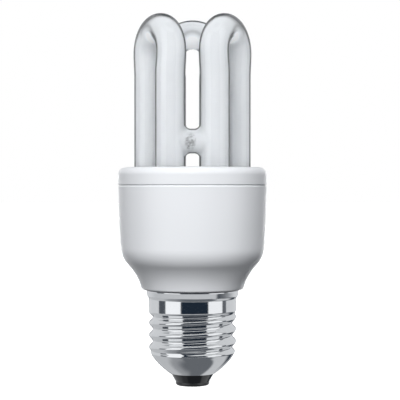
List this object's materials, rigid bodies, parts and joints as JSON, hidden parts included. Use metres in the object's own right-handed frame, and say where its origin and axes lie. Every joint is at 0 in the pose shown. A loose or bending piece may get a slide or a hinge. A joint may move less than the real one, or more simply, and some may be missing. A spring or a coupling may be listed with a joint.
{
  "type": "energy saving bulb",
  "caption": "Screw-in fluorescent lamp: bent white-coated glass tubes stand on a round white housing that narrows to a threaded metal cap.",
  "frame": {"origin": "middle of the centre contact's flat underside, on the lamp's axis", "axes": "+Z along the lamp's axis from the cap to the tubes; -Y is the side with the bridged pair of legs"},
  "size_m": [0.0446, 0.0446, 0.1107],
  "materials": {
    "coated_glass": "glossy clear glass over a white coating",
    "white_housing": "satin moulded plastic",
    "nickel_shell": "nickel-plated rolled brass",
    "black_glass": "glossy fused black glass",
    "contact_metal": "dark plated",
    "solder": "bright solder",
    "cement": "dry white cement",
    "board": "phenolic board",
    "tinned_wire": "tinned copper wire",
    "wire_insulation": "soft insulation",
    "ferrite": "sintered ferrite",
    "bobbin_plastic": "moulded bobbin",
    "copper_wire": "enamelled copper",
    "yellow_tape": "polyester tape",
    "can_sleeve": "shrunk sleeve on aluminium",
    "bung_rubber": "rubber",
    "black_epoxy": "moulded epoxy",
    "resistor_lacquer": "lacquered resistor",
    "fuse_lacquer": "lacquered resistor",
    "film_dip": "dipped epoxy",
    "thermistor_dip": "dipped epoxy"
  },
  "bodies": {
    "root": {"base_resistors": "resistor_lacquer", "cap_insulator": "black_glass", "capacitor_leads": "tinned_wire", "centre_contact": "contact_metal", "choke_bobbin": "bobbin_plastic", "choke_core_back": "ferrite", "choke_core_front": "ferrite", "choke_pins": "tinned_wire", "choke_tape": "yellow_tape", "choke_winding": "copper_wire", "circuit_board": "board", "contact_solder": "solder", "contact_wire": "wire_insulation", "coupling_capacitor": "film_dip", "diode_1": "black_epoxy", "diode_2": "black_epoxy", "diode_3": "black_epoxy", "diode_4": "black_epoxy", "diode_leads": "tinned_wire", "discharge_tube": "coated_glass", "electrode_wires": "tinned_wire", "electrolytic_bung": "bung_rubber", "electrolytic_can": "can_sleeve", "electrolytic_leads": "tinned_wire", "filter_capacitor": "film_dip", "filter_choke_core": "ferrite", "filter_choke_leads": "tinned_wire", "filter_choke_winding": "copper_wire", "fuse_leads": "tinned_wire", "fuse_resistor": "fuse_lacquer", "lower_housing": "white_housing", "resistor_leads": "tinned_wire", "resonance_capacitor": "film_dip", "ring_core": "ferrite", "ring_windings": "copper_wire", "screw_shell": "nickel_shell", "shell_wire": "wire_insulation", "solder_joints": "solder", "start_resistors": "resistor_lacquer", "thermistor": "thermistor_dip", "thermistor_leads": "tinned_wire", "transistor_leads": "tinned_wire", "transistor_left": "black_epoxy", "transistor_right": "black_epoxy", "tube_cement": "cement", "tube_holder": "white_housing", "wire_posts": "tinned_wire"}
  },
  "joints": []
}
